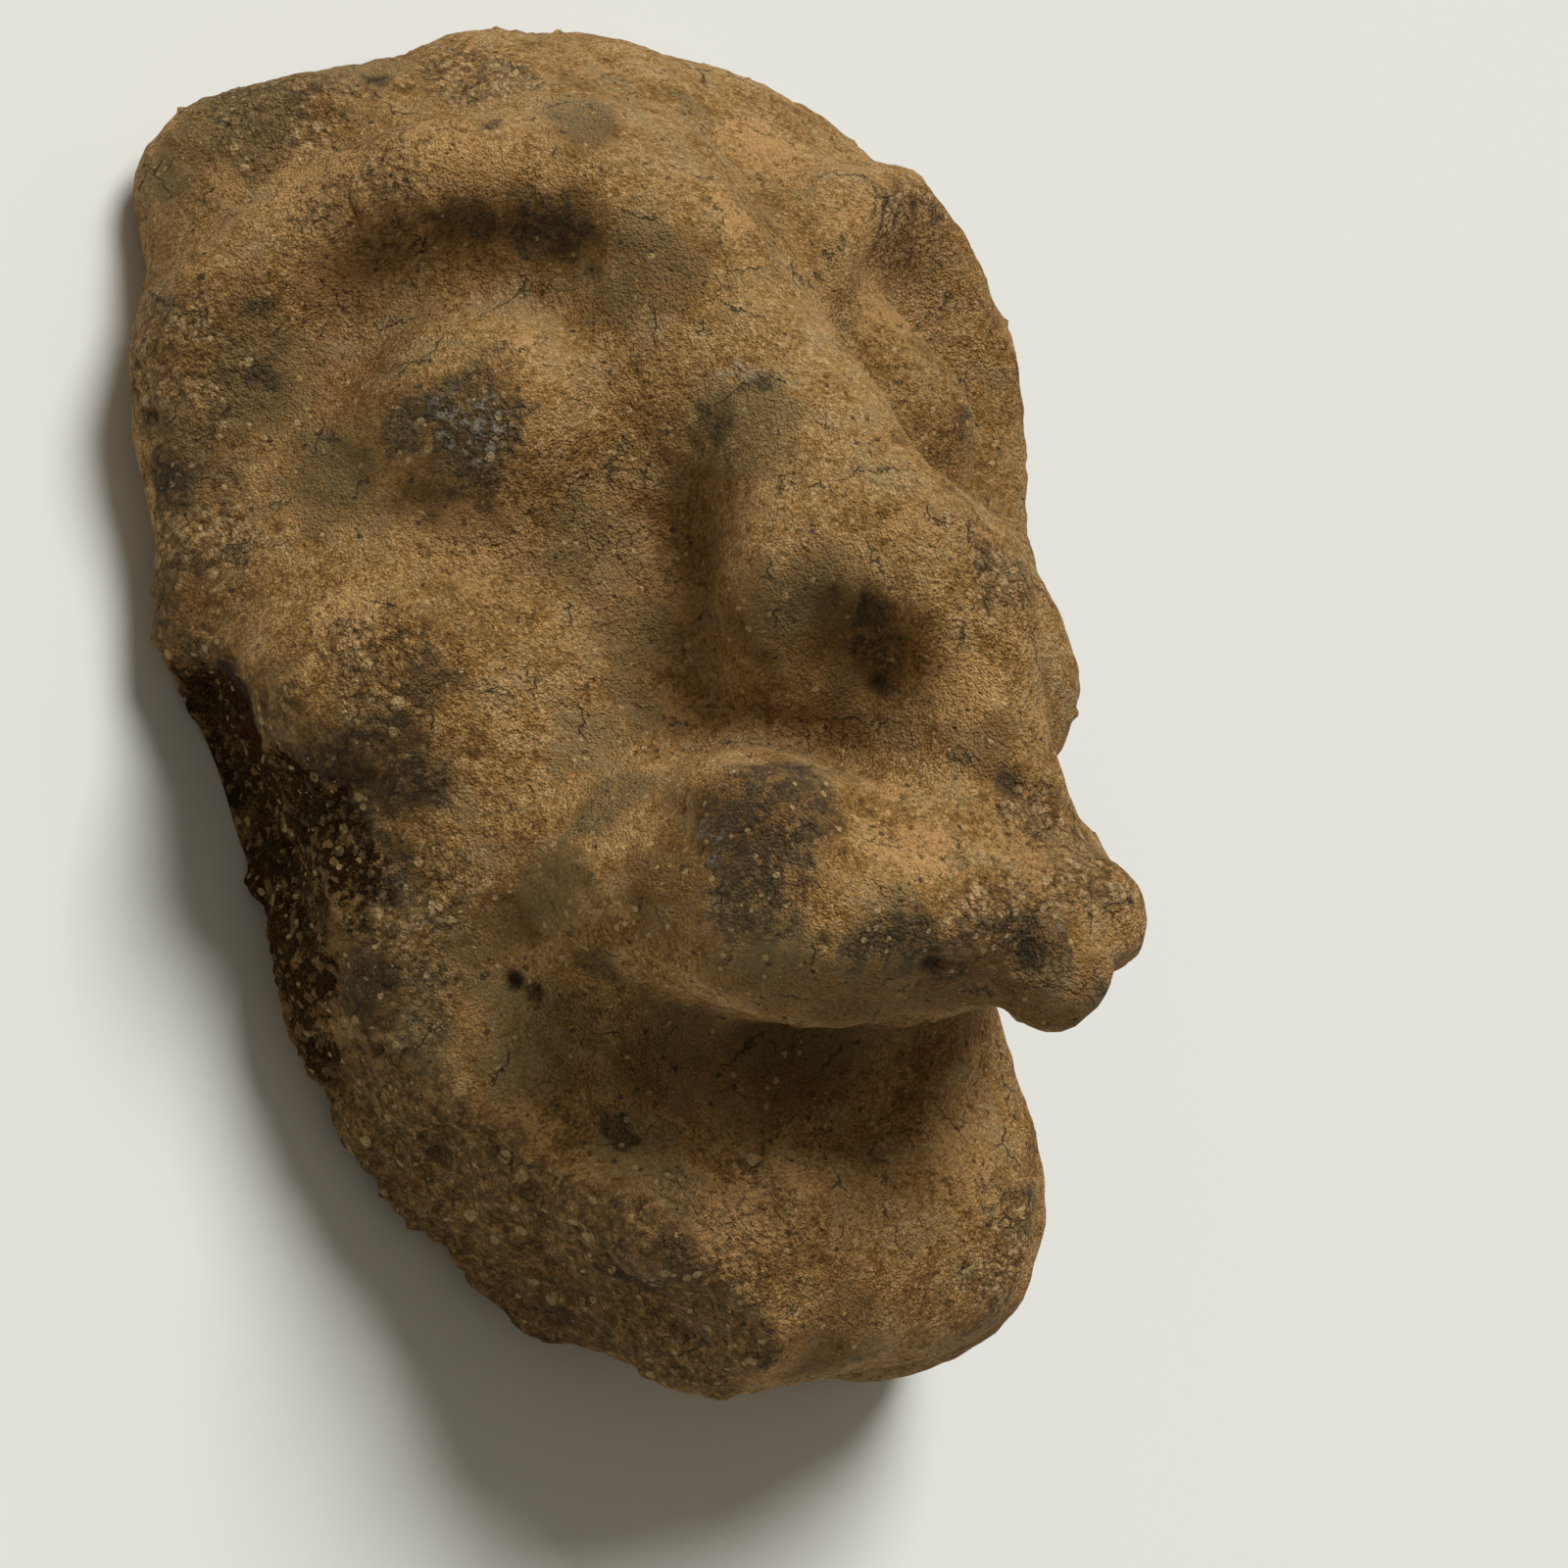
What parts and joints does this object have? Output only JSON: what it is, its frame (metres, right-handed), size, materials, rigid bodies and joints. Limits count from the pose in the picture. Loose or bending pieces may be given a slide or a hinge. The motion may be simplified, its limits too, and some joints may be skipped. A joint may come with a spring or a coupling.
{
  "type": "clay head sculpture",
  "caption": "Hand-modelled fired clay head like a thick mask: arched brows over bulging eyes, a long nose running into a jutting upper lip, a rounded chin and a flat back.",
  "frame": {"origin": "middle of the outline's length and width, on the flat back that the head lies on", "axes": "+Z out of the face, +Y towards the crown, +X towards the viewer's right when the face is looked at"},
  "size_m": [0.0986, 0.1356, 0.0615],
  "materials": {
    "fired_clay": "matte, gritty, smoke-stained"
  },
  "bodies": {
    "root": {"clay_head": "fired_clay"}
  },
  "joints": []
}
